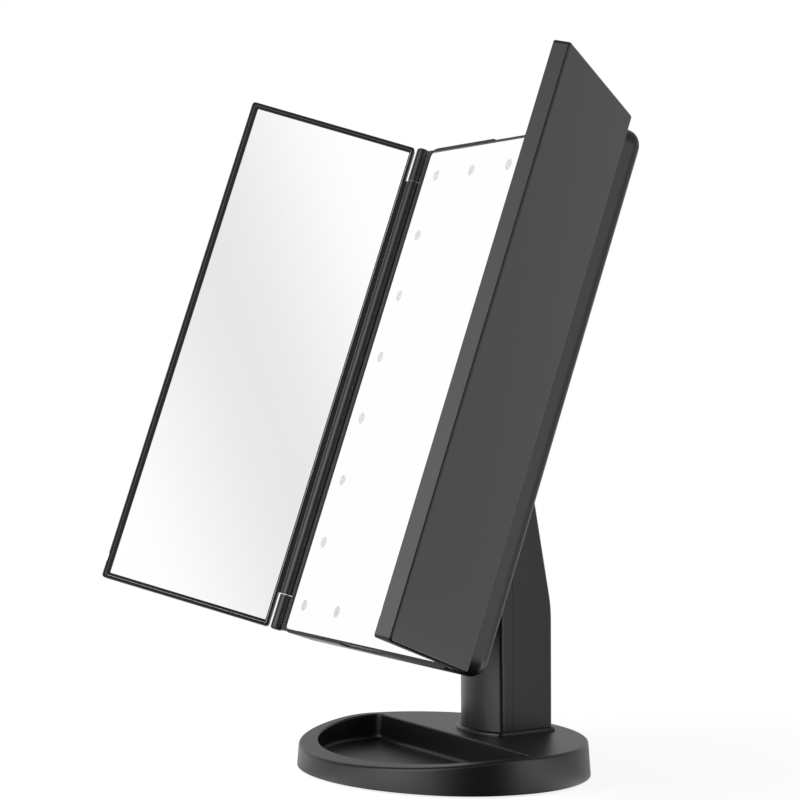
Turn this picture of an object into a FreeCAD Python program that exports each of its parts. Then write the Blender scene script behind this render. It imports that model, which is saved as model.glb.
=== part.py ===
import FreeCAD, Part
import os
from math import acos, asin, atan2, cos, hypot, pi, sin

# Tri-fold makeup mirror on a stand with a tray. Millimetres, +Z up. The mirror faces -Y, and the
# origin is on the table under the middle of the oval base.

V = FreeCAD.Vector

# Pose that the pieces are drawn in, degrees
panel_tilt = 19.0
left_fold = 60.0
right_fold = 52.0

# Fits shared by all pieces
running = 0.05
tight = 0.02
slip = 0.15
seam = 0.15
swing_gap = 0.4
overrun = 3.0
same_place = 0.01

# Screws, all of one kind
screw_radius = 1.25
screw_hole_gap = 0.1
screw_head_radius = 2.5
screw_head_height = 1.1
boss_wall = 1.8

# Base
base_length = 148.6
base_depth = 118.8
base_height = 14.6
base_front_height = 8.7
base_fall_start = 10.5
base_fall_round = 150.0
base_flare = 1.1
base_wall = 2.2
base_edge_round = 1.2
tray_side_rim = 5.6
tray_front_rim = 8.9
tray_floor_wall = 1.2
tray_post_gap = 9.0
tray_corner = 4.0
tray_floor_round = 2.0
tray_lip_round = 0.7
collar_width = 1.7
collar_height = 1.8
collar_round = 1.2
plate_thickness = 1.6
foot_thickness = 0.8
foot_width = 8.0
foot_inset = 3.0
base_boss_front_inset = 22.3
base_boss_tray_gap = 9.5
base_boss_rear_x = 28.0
base_boss_rear_inset = 21.4
ballast_thickness = 4.0
ballast_margin = 5.0
ballast_tray_gap = 2.3
ballast_board_gap = 3.0

# Supply inlet and main switch at the back of the base
board_thickness = 1.2
power_board_width = 40.0
power_board_depth = 15.0
power_board_wall_gap = 4.2
power_board_lift = 2.4
rib_thickness = 2.0
rib_inset = 3.0
usb_x = -8.0
usb_width = 7.6
usb_height = 2.8
usb_length = 6.2
usb_corner = 0.7
usb_wall = 0.35
usb_tongue_height = 0.7
usb_recess = 1.2
usb_window_gap = 0.5
switch_x = 9.0
switch_case_width = 9.0
switch_case_height = 3.8
switch_case_length = 4.4
slider_width = 3.0
slider_height = 2.0
slider_travel = 3.0
slider_proud = 1.0
slider_root = 1.5
slider_gap = 0.3

# Post
post_setback = 10.9
post_depth = 35.0
post_bow = 6.7
post_foot_width = 36.0
post_head_width = 34.6
post_draw_share = 0.155
post_wall = 1.6
post_floor = 4.4
post_back_bend = 54.65
post_bend_round = 60.0
post_front_round = 2.3
post_back_round = 2.4
post_split_depth = 12.5
post_screw_front_x = 11.0
post_screw_front_inset = 8.0
post_screw_rear_x = 8.5
post_screw_rear_inset = 7.5
post_screw_cover = 1.0

# Battery bay
cell_radius = 5.25
cell_length = 43.5
cell_nub_radius = 1.9
cell_nub_height = 1.0
cell_gap = 0.15
contact_thickness = 0.4
contact_width = 8.0
contact_dome_radius = 2.4
contact_dome_height = 0.7
contact_gap = 0.1
holder_wall = 1.4
holder_front_inset = 5.1
holder_back_gap = 1.5
door_width = 22.0
door_height = 47.0
door_sill = 6.0
door_corner = 2.0
door_gap = 0.3
door_pin_radius = 0.55
door_pin_length = 0.8
scoop_radius = 9.0
scoop_depth = 0.7
scoop_drop = 9.0

# Tilt hinge
pivot_inset = 9.28
pivot_rise = 133.87
head_radius = 10.0
axle_radius = 2.5
axle_head_radius = 4.2
axle_head_height = 2.2
nut_width = 8.0
nut_sides = 6
washer_thickness = 0.6
washer_radius = 7.0
washer_gap = 0.1
ear_thickness = 7.0
ear_radius = 10.0
ear_foot_height = 36.0
ear_round = 1.2
cap_radius = 5.2
cap_thickness = 1.0
pivot_standoff = 10.9
pivot_drop = 9.0

# Panel
panel_width = 161.8
panel_height = 237.6
panel_corner = 8.0
rim_side = 2.1
rim_end = 1.7
rim_height = 0.8
rim_round = 0.3
notch_width = 40.0
notch_depth = 0.9
notch_reach = 5.0
glass_thickness = 2.0
glass_corner = 2.0
ledge_width = 5.4
ledge_thickness = 2.0
frame_wall = 2.1
frame_depth = 6.0
housing_depth = 17.0
housing_wall = 2.0
housing_round = 5.5
housing_boss_inset = 9.5
housing_boss_steps = 3

# Lights and touch switch
led_columns = 5
led_rows = 8
led_side_margin = 13.5
led_end_margin = 13.8
window_radius = 2.6
window_thickness = 0.3
led_board_border = 8.0
led_length = 3.5
led_width = 2.8
led_height = 1.2
touch_radius = 6.0
touch_thickness = 0.3
control_width = 44.0
control_height = 24.0
control_drop = 72.0
control_lift = 3.0
control_post_radius = 2.0
chip_width = 8.0
chip_height = 5.0
chip_thickness = 1.5
chip_pitch = 14.0
chip_count = 3

# Wing hinges
hinge_gap = 4.5
hinge_forward = 1.5
barrel_radius = 2.9
knuckle_length = 16.5
knuckle_round = 1.2
knuckle_web = 2.7
pin_radius = 1.0
pin_reach = 14.0
pin_end_wall = 1.6

# Wings
wing_near = 4.1
wing_meeting_gap = 0.4
wing_end_gap = 0.3
wing_thickness = 7.2
wing_set_back = 0.25
wing_wall = 1.4
wing_floor = 2.0
wing_corner = 1.5
wing_round = 1.0
wing_rim_round = 0.4
bezel_thickness = 0.9
bezel_free_rim = 3.3
bezel_hinge_rim = 2.0
bezel_end_rim = 2.8
bezel_bevel = 0.6
bezel_corner = 0.5
bezel_bar = 5.0
upper_window_share = 0.38
wing_glass_thickness = 2.0
wing_web_back = 2.6
dish_depth = 0.8
pry_width = 3.6
pry_depth = 2.0
pry_reach = 0.45
pry_rise = 9.6

# Places that follow from the sizes above
shell_foot = foot_thickness
base_top = shell_foot + base_height
plate_top = shell_foot + plate_thickness
tray_floor = plate_top + slip + tray_floor_wall
ceiling = base_top - base_wall
post_back_y = base_depth / 2 - post_setback
post_front_y = post_back_y - post_depth
post_split_y = post_front_y + post_split_depth
tray_back_y = post_front_y - tray_post_gap
board_back_y = base_depth / 2 - base_wall - power_board_wall_gap
board_front_y = board_back_y - power_board_depth
holder_front_y = post_front_y + holder_front_inset
pivot_y = post_front_y + pivot_inset
pivot_z = base_top + pivot_rise
panel_half_x = panel_width / 2
panel_half_z = panel_height / 2
hinge_x = panel_half_x + hinge_gap
wing_far = hinge_x - wing_meeting_gap
wing_half_z = panel_half_z - wing_end_gap
led_column_pitch = (panel_width - led_side_margin * 2) / (led_columns - 1)
led_row_pitch = (panel_height - led_end_margin * 2) / (led_rows - 1)
head_half = post_head_width / 2
ear_near = head_half + washer_thickness + washer_gap * 2
ear_far = ear_near + ear_thickness
ear_recess = cap_thickness + axle_head_height + slip
local_pivot = V(0, housing_depth + pivot_standoff, -pivot_drop)
boss_radius = screw_radius + boss_wall
screw_hole = screw_radius + screw_hole_gap
housing_floor = housing_depth - housing_wall
ledge_back = glass_thickness + ledge_thickness


def block(x0, x1, y0, y1, z0, z1):
    """Straight block between two corners."""
    return Part.makeBox(x1 - x0, y1 - y0, z1 - z0, V(x0, y0, z0))


def edges_along(shape, axis):
    """Straight edges that run along one axis."""
    others = [letter for letter in "XYZ" if letter != axis]
    return [
        edge for edge in shape.Edges
        if all(getattr(edge.BoundBox, letter + "Length") < same_place for letter in others)
    ]


def edges_in_plane(shape, axis, place):
    """Edges that lie in the plane where one coordinate has this value."""
    return [
        edge for edge in shape.Edges
        if abs(getattr(edge.BoundBox, axis + "Min") - place) < same_place
        and abs(getattr(edge.BoundBox, axis + "Max") - place) < same_place
    ]


def slab(x0, x1, z0, z1, y0, y1, corner):
    """Upright plate whose corners are rounded as seen from the front."""
    plate = block(x0, x1, y0, y1, z0, z1)
    return plate.makeFillet(corner, edges_along(plate, "Y"))


def centred_slab(half_x, half_z, y0, y1, corner):
    """Upright rounded plate about the middle of the panel."""
    return slab(-half_x, half_x, -half_z, half_z, y0, y1, corner)


def rod(radius, start, end):
    """Round bar between two points."""
    along = end - start
    return Part.makeCylinder(radius, along.Length, start, along)


def joined(*shapes):
    """One moulding made of several forms."""
    return shapes[0].multiFuse(list(shapes[1:])).removeSplitter()


def cut_from(shape, *tools):
    """A form with several others taken out of it."""
    return shape.cut(list(tools)).removeSplitter()


def both_sides(shape):
    """A shape and its mirror image across the middle plane."""
    return [shape, shape.mirror(V(0, 0, 0), V(1, 0, 0))]


def screw(tip, head_seat, outward):
    """Pan-head screw: the shank runs from its tip to the seat, and the head stands outward of it."""
    shank = rod(screw_radius, tip, head_seat)
    head = rod(screw_head_radius, head_seat, head_seat + outward * screw_head_height)
    return joined(shank, head)


def oval(half_x, half_y, z):
    """Oval wire at one height, long either way."""
    centre = V(0, 0, z)
    long_end, short_end = V(half_x, 0, z), V(0, half_y, z)
    if half_y > half_x:
        long_end, short_end = V(0, half_y, z), V(-half_x, 0, z)
    return Part.Wire(Part.Ellipse(long_end, short_end, centre).toShape())


def flare_at(z):
    """How far the base's wall stands out from its top outline at one height."""
    return base_flare * (base_top - z) / base_height


def oval_block(inset, z0, z1):
    """Block with the base's outline, drawn in by the inset, between two heights of the flared wall."""
    half_x, half_y = base_length / 2 - inset, base_depth / 2 - inset
    foot = oval(half_x + flare_at(z0), half_y + flare_at(z0), z0)
    top = oval(half_x + flare_at(z1), half_y + flare_at(z1), z1)
    return Part.makeLoft([foot, top], True, True)


def straight_oval(inset, z0, z1):
    """Upright oval block inside the base's top outline."""
    outline = oval(base_length / 2 - inset, base_depth / 2 - inset, z0)
    return Part.Face(outline).extrude(V(0, 0, z1 - z0))


def tray_block(wall, z0, z1):
    """Upright block with the tray's outline, grown by a wall, and cut straight behind the tray."""
    half_x, half_y = base_length / 2 - tray_side_rim + wall, base_depth / 2 - tray_front_rim + wall
    tray = Part.Face(oval(half_x, half_y, z0)).extrude(V(0, 0, z1 - z0))
    return tray.common(block(-half_x, half_x, -half_y, tray_back_y + wall, z0, z1))


def side_profile(drop):
    """Side view of the base, drawn out across it: a level deck that bends down to a lower front rim.
    All of it is moved down by the drop."""
    reach = base_length
    bend_y = tray_back_y - base_fall_start
    fall = (base_height - base_front_height) / (bend_y + base_depth / 2)
    points = [V(-reach, bend_y, base_top), V(-reach, -reach, base_top - fall * (bend_y + reach)),
              V(-reach, -reach, -reach), V(-reach, reach, -reach), V(-reach, reach, base_top)]
    profile = Part.Face(Part.makePolygon(points + points[:1])).extrude(V(reach * 2, 0, 0))
    bends = [edge for edge in edges_along(profile, "X") if abs(edge.BoundBox.YMin - bend_y) < same_place]
    return profile.makeFillet(base_fall_round, bends).translated(V(0, 0, -drop))


def base_bosses():
    """Centres of the four bosses that the base's plate is screwed to."""
    front_x, front_y = base_length / 2 - base_boss_front_inset, tray_back_y + base_boss_tray_gap
    rear_y = base_depth / 2 - base_boss_rear_inset
    pairs = ((front_x, front_y), (base_boss_rear_x, rear_y))
    return [V(side * x, y, 0) for side in (-1, 1) for x, y in pairs]


def post_section(inset, share):
    """Outline of the post at a share of its rise: a bowed front, and sides that draw in to the back."""
    z = base_top + pivot_rise * share
    half = (post_foot_width * (1 - share) + post_head_width * share) / 2 - inset * (1 + post_draw_share)
    front = post_front_y * (1 - share) + (pivot_y - head_radius) * share + inset
    shoulder = front + post_bow
    back = post_back_y + post_wall + overrun
    back_half = half - (back - shoulder) * post_draw_share
    right, left = V(half, shoulder, z), V(-half, shoulder, z)
    bow = Part.Arc(left, V(0, front, z), right).toShape()
    corners = [right, V(back_half, back, z), V(-back_half, back, z), left]
    return Part.Wire([bow] + [Part.makeLine(a, b) for a, b in zip(corners, corners[1:])])


def post_column(inset, z0, z1):
    """The post's column between two heights. Its back rises straight, bends forward and runs on
    tangent to the hinge barrel."""
    column = Part.makeLoft([post_section(inset, 0), post_section(inset, 1)], True, True)
    fronts = [edge for edge in rising_edges(column) if edge.BoundBox.YMax < pivot_y]
    column = column.makeFillet(post_front_round - inset, fronts)
    bend = V(0, post_back_y - inset, base_top + post_back_bend)
    axis = V(0, pivot_y, pivot_z)
    barrel = head_radius - inset
    span = bend - axis
    lean = atan2(span.y, -span.z) - asin(barrel / span.Length)
    touch = axis + V(0, barrel * cos(lean), barrel * sin(lean))
    far = post_back_y + post_foot_width
    side_points = [V(0, -far, base_top), V(0, -far, pivot_z), axis, touch, bend, V(0, bend.y, base_top)]
    side = Part.Face(Part.makePolygon(side_points + side_points[:1]))
    profile = side.translated(V(-far, 0, 0)).extrude(V(far * 2, 0, 0))
    bends = [edge for edge in edges_along(profile, "X") if abs(edge.BoundBox.ZMin - bend.z) < same_place]
    column = column.common(profile.makeFillet(post_bend_round, bends))
    backs = [edge for edge in rising_edges(column) if edge.BoundBox.YMin > pivot_y + same_place]
    column = column.makeFillet(post_back_round - inset, backs)
    return column.common(block(-far, far, -far, far, z0, z1))


def rising_edges(shape):
    """Edges that climb."""
    return [edge for edge in shape.Edges if edge.BoundBox.ZLength > same_place]


def base_shell():
    """Oval shell with a flat rear deck that carries the post, and a D-shaped tray in its falling front."""
    body = oval_block(0, shell_foot, base_top + overrun).common(side_profile(0))
    body = body.makeFillet(base_edge_round, [edge for edge in body.Edges if on_outer_rim(edge)])
    hollow = oval_block(base_wall, shell_foot - overrun, base_top).common(side_profile(base_wall))
    tub = tray_block(base_wall, tray_floor - tray_floor_wall, base_top).common(side_profile(base_wall / 2))
    tray = tray_block(0, tray_floor, base_top + overrun)
    tray = tray.makeFillet(tray_corner, edges_along(tray, "Z"))
    tray = tray.makeFillet(tray_floor_round, edges_in_plane(tray, "Z", tray_floor))
    bosses = [rod(boss_radius, at + V(0, 0, plate_top), at + V(0, 0, base_top - base_wall / 2))
              for at in base_bosses()]
    pilots = [rod(screw_hole, at + V(0, 0, plate_top - overrun), at + V(0, 0, ceiling))
              for at in base_bosses()]
    shell = cut_from(joined(cut_from(body, hollow), tub, *bosses), tray, *pilots)
    shell = shell.makeFillet(tray_lip_round, [edge for edge in shell.Edges if on_tray_lip(edge)])
    collar = post_column(-collar_width, base_top, base_top + collar_height)
    collar = collar.makeFillet(collar_round, edges_in_plane(collar, "Z", base_top + collar_height))
    socket = post_column(-slip, base_top, base_top + collar_height + overrun)
    holes = [rod(screw_hole, V(at.x, at.y, ceiling - overrun), V(at.x, at.y, base_top + overrun))
             for at in post_screw_places()]
    shell = joined(shell, cut_from(collar, socket))
    return cut_from(shell, *holes, usb_window(), switch_window())


def on_outer_rim(edge):
    """Whether an edge runs round the top of the base's outer wall."""
    across = edge.BoundBox.YLength < same_place
    return edge.BoundBox.ZMin > shell_foot + same_place and not across


def on_tray_lip(edge):
    """Whether an edge borders the mouth of the tray."""
    at = edge.valueAt((edge.FirstParameter + edge.LastParameter) / 2)
    half_x, half_y = base_length / 2 - tray_side_rim, base_depth / 2 - tray_front_rim
    inside = hypot(at.x / half_x, at.y / half_y) < 1 + same_place and at.y < tray_back_y + same_place
    upright = max(edge.BoundBox.XLength, edge.BoundBox.YLength) < same_place
    return inside and not upright and at.z > tray_floor + tray_floor_round + same_place


def post_screw_places():
    """Where the four screws that hold the post down enter its foot."""
    front_y, rear_y = post_front_y + post_screw_front_inset, post_back_y - post_screw_rear_inset
    pairs = ((post_screw_front_x, front_y), (post_screw_rear_x, rear_y))
    return [V(side * x, y, base_top) for side in (-1, 1) for x, y in pairs]


def usb_floor():
    """Height of the power board's upper face."""
    return plate_top + power_board_lift + board_thickness


def usb_window():
    """Hole in the base's rear wall in front of the supply socket."""
    half = usb_width / 2 + usb_window_gap
    back = base_depth / 2 + base_flare + overrun
    return block(usb_x - half, usb_x + half, base_depth / 2 - base_wall - overrun, back,
                 usb_floor() - usb_window_gap, usb_floor() + usb_height + usb_window_gap)


def slider_floor():
    """Underside of the switch's slider."""
    return usb_floor() + (switch_case_height - slider_height) / 2


def switch_window():
    """Slot in the base's rear wall that the switch's slider moves in."""
    half = slider_width / 2 + slider_gap
    back = base_depth / 2 + base_flare + overrun
    return block(switch_x - half, switch_x + half + slider_travel,
                 base_depth / 2 - base_wall - overrun, back,
                 slider_floor() - slider_gap, slider_floor() + slider_height + slider_gap)


def base_plate():
    """Plate that closes the underside, with ribs that carry the power board."""
    plate = oval_block(base_wall + slip, shell_foot, plate_top)
    rib_x = power_board_width / 2 - rib_inset
    ribs = [block(side * rib_x - rib_thickness / 2, side * rib_x + rib_thickness / 2,
                  board_front_y, board_back_y,
                  plate_top - plate_thickness / 2, plate_top + power_board_lift) for side in (-1, 1)]
    holes = [rod(screw_hole, at, at + V(0, 0, plate_top + overrun)) for at in base_bosses()]
    seats = [rod(screw_head_radius + slip, at, at + V(0, 0, shell_foot + screw_head_height))
             for at in base_bosses()]
    return cut_from(joined(plate, *ribs), *holes, *seats)


def base_screws():
    """Screws that hold the plate to the shell's bosses."""
    down = V(0, 0, -1)
    return Part.makeCompound([
        screw(at + V(0, 0, ceiling - screw_radius), at + V(0, 0, shell_foot + screw_head_height), down)
        for at in base_bosses()
    ])


def foot_ring():
    """Flat non-slip ring that the object stands on."""
    outer = straight_oval(foot_inset, 0, shell_foot)
    inner = straight_oval(foot_inset + foot_width, -overrun, shell_foot + overrun)
    return cut_from(outer, inner)


def ballast_plate():
    """Steel weight that lies on the base's plate around the front bosses."""
    reach = base_length
    front = tray_back_y + base_wall + ballast_tray_gap
    room = block(-reach, reach, front, board_front_y - ballast_board_gap, 0, base_top)
    weight = straight_oval(base_wall + ballast_margin, plate_top, plate_top + ballast_thickness).common(room)
    clear = boss_radius + swing_gap
    wells = [rod(clear, at, at + V(0, 0, base_top)) for at in base_bosses()]
    return cut_from(weight, *wells)


def power_board():
    """Board that carries the supply socket and the main switch."""
    half = power_board_width / 2
    top = usb_floor()
    return block(-half, half, board_front_y, board_back_y, top - board_thickness, top)


def usb_socket():
    """Metal supply socket: a flat tube with a tongue, its mouth just inside the base's wall."""
    mouth_y = base_depth / 2 - usb_recess
    half = usb_width / 2
    z0, z1 = usb_floor(), usb_floor() + usb_height
    back_y = mouth_y - usb_length
    tube = block(usb_x - half, usb_x + half, back_y, mouth_y, z0, z1)
    tube = tube.makeFillet(usb_corner, edges_along(tube, "Y"))
    room = block(usb_x - half + usb_wall, usb_x + half - usb_wall, back_y + usb_wall, mouth_y + overrun,
                 z0 + usb_wall, z1 - usb_wall)
    tongue_half = half / 2
    middle = (z0 + z1) / 2
    tongue = block(usb_x - tongue_half, usb_x + tongue_half, back_y, mouth_y - usb_recess,
                   middle - usb_tongue_height / 2, middle + usb_tongue_height / 2)
    return joined(cut_from(tube, room), tongue)


def switch_case():
    """Body of the main switch, with the groove that its slider runs in."""
    half = switch_case_width / 2
    middle_x = switch_x + slider_travel / 2
    case = block(middle_x - half, middle_x + half, board_back_y - switch_case_length, board_back_y,
                 usb_floor(), usb_floor() + switch_case_height)
    groove = block(switch_x - slider_width / 2 - slider_gap,
                   switch_x + slider_width / 2 + slider_travel + slider_gap,
                   board_back_y - slider_root - slider_gap, board_back_y + overrun,
                   slider_floor() - tight, slider_floor() + slider_height + tight)
    return cut_from(case, groove)


def switch_slider():
    """Slider that stands a little proud of the base's rear wall."""
    half = slider_width / 2
    return block(switch_x - half, switch_x + half, board_back_y - slider_root,
                 base_depth / 2 + flare_at(slider_floor()) + slider_proud,
                 slider_floor(), slider_floor() + slider_height)


def seam_z():
    """Height where the post's rear moulding ends, under the hinge barrel."""
    return pivot_z - head_radius - post_wall


def post_walls():
    """The hollow column and its foot before they are parted."""
    outside = post_column(0, base_top, pivot_z + head_radius)
    inside = post_column(post_wall, base_top + post_floor, seam_z() - post_wall)
    rise = V(0, 0, post_floor - post_screw_cover)
    pilots = [rod(screw_hole, at - rise, at + rise) for at in post_screw_places()]
    return cut_from(outside, inside, *pilots)


def rear_room(from_y, to_z):
    """Space behind a parting plane and under the hinge barrel."""
    far = post_back_y + post_foot_width
    return block(-far, far, from_y, far, base_top - overrun, to_z)


def post_front_shell():
    """Front moulding of the post, with the hinge barrel at its head."""
    walls = post_walls().cut(rear_room(post_split_y, seam_z()))
    barrel = rod(head_radius, V(-head_half, pivot_y, pivot_z), V(head_half, pivot_y, pivot_z))
    bore = rod(axle_radius + running, V(-ear_far, pivot_y, pivot_z), V(ear_far, pivot_y, pivot_z))
    return cut_from(joined(walls, barrel), bore)


def door_axis(x):
    """A point on the axis that the battery door swings about."""
    return V(x, post_back_y - post_wall / 2, base_top + door_sill + post_wall / 2)


def door_outline(gap):
    """Upright block of the battery door, grown by a gap, with its upper corners rounded."""
    half = door_width / 2 + gap
    z0 = base_top + door_sill - gap
    z1 = base_top + door_sill + door_height + gap
    outline = block(-half, half, post_back_y - post_wall - overrun, post_back_y + overrun, z0, z1)
    corners = [edge for edge in edges_along(outline, "Y") if edge.BoundBox.ZMin > z0 + same_place]
    return outline.makeFillet(door_corner, corners)


def post_rear_shell():
    """Rear moulding of the post, with the opening and the pin holes of the battery door."""
    walls = post_walls().common(rear_room(post_split_y + seam, seam_z() - seam))
    reach = door_width / 2 + door_pin_length + door_gap
    pin_holes = rod(door_pin_radius + running, door_axis(-reach), door_axis(reach))
    return cut_from(walls, door_outline(door_gap), pin_holes)


def battery_door():
    """Flap that is flush with the post's back: a round foot with a pin at each end, a thumb scoop above."""
    half = door_width / 2
    under_axis = block(-half, half, 0, post_back_y + overrun, 0, door_axis(0).z)
    flap = post_walls().common(door_outline(0)).cut(under_axis)
    foot = rod(post_wall / 2, door_axis(-half), door_axis(half))
    pins = rod(door_pin_radius, door_axis(-half - door_pin_length), door_axis(half + door_pin_length))
    scoop_z = base_top + door_sill + door_height - scoop_drop
    scoop = Part.makeSphere(scoop_radius, V(0, post_back_y + scoop_radius - scoop_depth, scoop_z))
    return cut_from(joined(flap, foot, pins), scoop)


def post_screws():
    """Screws that hold the post down, driven from inside the base."""
    down = V(0, 0, -1)
    rise = V(0, 0, post_floor - post_screw_cover - slip)
    return Part.makeCompound([screw(at + rise, V(at.x, at.y, ceiling), down) for at in post_screw_places()])


def cell_places():
    """Centres of the four cells, two by two, in plan."""
    x = cell_radius + cell_gap / 2
    front = holder_front_y + cell_gap + cell_radius
    back = front + cell_radius * 2 + cell_gap
    return [V(side * x, y, 0) for side in (-1, 1) for y in (front, back)]


def holder_floor():
    """Upper face of the battery holder's floor."""
    return base_top + post_floor + holder_wall


def contact_room():
    """Space that a contact takes up at each end of a cell."""
    return contact_thickness + contact_dome_height + contact_gap


def cell_foot():
    """Height of the cells' lower ends."""
    return holder_floor() + contact_room()


def bay_top():
    """Underside of the battery holder's roof."""
    return cell_foot() + cell_length + cell_nub_height + contact_room()


def battery_holder():
    """Frame round the cells, open to the front and to the door."""
    half = (cell_radius + cell_gap) * 2
    back = post_back_y - post_wall - holder_back_gap
    frame = block(-half - holder_wall, half + holder_wall, holder_front_y, back,
                  base_top + post_floor, bay_top() + holder_wall)
    room = block(-half, half, holder_front_y - overrun, back + overrun, holder_floor(), bay_top())
    return cut_from(frame, room)


def contact(x, z_plate, rising):
    """Metal strip under or over one pair of cells, with a dome for each."""
    places = [at for at in cell_places() if at.x == x]
    half = contact_width / 2
    z0, z1 = z_plate, z_plate + rising * contact_thickness
    ys = sorted(at.y for at in places)
    strip = block(x - half, x + half, ys[0] - contact_dome_radius, ys[-1] + contact_dome_radius,
                  min(z0, z1), max(z0, z1))
    domes = [
        Part.makeCone(contact_dome_radius, contact_dome_radius / 2, contact_dome_height,
                      V(x, y, z1), V(0, 0, rising)) for y in ys
    ]
    return joined(strip, *domes)


def battery_contacts():
    """Four contact strips, one pair at each end of the bay."""
    xs = sorted({at.x for at in cell_places()})
    strips = [contact(x, holder_floor(), 1) for x in xs] + [contact(x, bay_top(), -1) for x in xs]
    return Part.makeCompound(strips)


def battery_cells():
    """Four AAA cells standing in the post."""
    cells = []
    for at in cell_places():
        foot = at + V(0, 0, cell_foot())
        shoulder = foot + V(0, 0, cell_length)
        can = rod(cell_radius, foot, shoulder)
        nub = rod(cell_nub_radius, shoulder, shoulder + V(0, 0, cell_nub_height))
        cells.append(joined(can, nub))
    return Part.makeCompound(cells)


def on_panel(shape):
    """Carries a piece from the panel's own frame to its place on the tilt hinge."""
    turn = FreeCAD.Rotation(V(1, 0, 0), -panel_tilt)
    origin = V(0, pivot_y, pivot_z) - turn.multVec(local_pivot)
    return shape.transformed(FreeCAD.Placement(origin, turn).toMatrix(), copy=True)


def on_right_wing(shape):
    """Carries a piece from the right wing's frame, whose Z axis is the hinge, to its place."""
    turn = FreeCAD.Rotation(V(0, 0, 1), -right_fold)
    place = FreeCAD.Placement(V(hinge_x, -hinge_forward, 0), turn)
    return on_panel(shape.transformed(place.toMatrix(), copy=True))


def on_left_wing(shape):
    """Mirrors a piece of a right wing and carries it to the left wing's place."""
    turn = FreeCAD.Rotation(V(0, 0, 1), left_fold)
    place = FreeCAD.Placement(V(-hinge_x, -hinge_forward, 0), turn)
    left = shape.mirror(V(0, 0, 0), V(1, 0, 0))
    return on_panel(left.transformed(place.toMatrix(), copy=True))


def knuckle_span(end):
    """Lower and upper height of the frame's knuckle at the top (1) or the bottom (-1) end."""
    outer, inner = end * panel_half_z, end * (panel_half_z - knuckle_length)
    return min(outer, inner), max(outer, inner)


def knuckle(end):
    """One hinge knuckle at the right side of the frame, with the web that joins it to the rim."""
    z0, z1 = knuckle_span(end)
    barrel = rod(barrel_radius, V(hinge_x, -hinge_forward, z0), V(hinge_x, -hinge_forward, z1))
    barrel = barrel.makeFillet(knuckle_round, edges_in_plane(barrel, "Z", end * panel_half_z))
    inset = knuckle_round / 2
    front = -rim_height + rim_round
    web = block(panel_half_x - panel_corner, hinge_x, front, front + knuckle_web,
                z0 + inset * (end < 0), z1 - inset * (end > 0))
    return joined(barrel, web)


def pin_ends(end):
    """Outer and inner end of one hinge pin."""
    outer = end * (panel_half_z - pin_end_wall)
    inner = end * (panel_half_z - knuckle_length - pin_reach)
    return V(hinge_x, -hinge_forward, outer), V(hinge_x, -hinge_forward, inner)


def main_frame():
    """Front frame: low rim, finger notches in both ends, ledge for the glass, bosses and knuckles."""
    front = -rim_height
    body = centred_slab(panel_half_x, panel_half_z, front, frame_depth, panel_corner)
    body = body.makeFillet(rim_round, edges_in_plane(body, "Y", front))
    knuckles = [half for end in (-1, 1) for half in both_sides(knuckle(end))]
    window_x, window_z = panel_half_x - rim_side, panel_half_z - rim_end
    pocket = centred_slab(window_x, window_z, front - overrun, glass_thickness, glass_corner)
    ledge_hole = centred_slab(window_x - ledge_width, window_z - ledge_width,
                              0, frame_depth + overrun, glass_corner)
    room = centred_slab(panel_half_x - frame_wall, panel_half_z - frame_wall,
                        ledge_back, frame_depth + overrun, panel_corner - frame_wall)
    notch = block(-notch_width / 2, notch_width / 2, front - overrun, front + notch_reach,
                  panel_half_z - notch_depth, panel_half_z + overrun)
    notches = [notch, notch.mirror(V(0, 0, 0), V(0, 0, 1))]
    pin_holes = []
    for end in (-1, 1):
        outer, inner = pin_ends(end)
        pin_holes += both_sides(rod(pin_radius + tight, outer, inner))
    bosses = [rod(boss_radius, V(at.x, ledge_back - ledge_thickness / 2, at.z), V(at.x, housing_floor, at.z))
              for at in housing_bosses()]
    pilots = [rod(screw_hole, V(at.x, ledge_back, at.z), V(at.x, housing_depth, at.z))
              for at in housing_bosses()]
    frame = cut_from(joined(body, *knuckles), pocket, ledge_hole, room, *notches, *pin_holes)
    return cut_from(joined(frame, *bosses), *pilots)


def housing_bosses():
    """Centres of the six bosses that hold the rear housing, between the lights of each column."""
    x = panel_half_x - housing_boss_inset
    z = led_row_pitch * housing_boss_steps
    return [V(side * x, 0, row * z) for side in (-1, 1) for row in (-1, 0, 1)]


def led_places():
    """Centres of the lights: two full columns and a row at each end. The lower row leaves its
    middle place to the touch switch."""
    places = []
    for row in range(led_rows):
        for column in range(led_columns):
            on_side = column in (0, led_columns - 1)
            on_end = row in (0, led_rows - 1)
            at_touch = row == led_rows - 1 and column == led_columns // 2
            if (on_side or on_end) and not at_touch:
                x = (column - (led_columns - 1) / 2) * led_column_pitch
                z = ((led_rows - 1) / 2 - row) * led_row_pitch
                places.append(V(x, 0, z))
    return places


def light_window(at, gap):
    """Disc where the silvering is left out in front of a light."""
    depth = window_thickness + gap
    return rod(window_radius + gap, V(at.x, 0, at.z), V(at.x, depth, at.z))


def main_mirror():
    """Silvered glass in the front frame, with shallow seats for the frosted windows."""
    half_x = panel_half_x - rim_side - slip
    half_z = panel_half_z - rim_end - slip
    glass = centred_slab(half_x, half_z, 0, glass_thickness, glass_corner - slip)
    return cut_from(glass, *[light_window(at, tight) for at in led_places()])


def led_windows():
    """Frosted windows, flush with the face of the glass."""
    return Part.makeCompound([light_window(at, 0) for at in led_places()])


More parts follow.
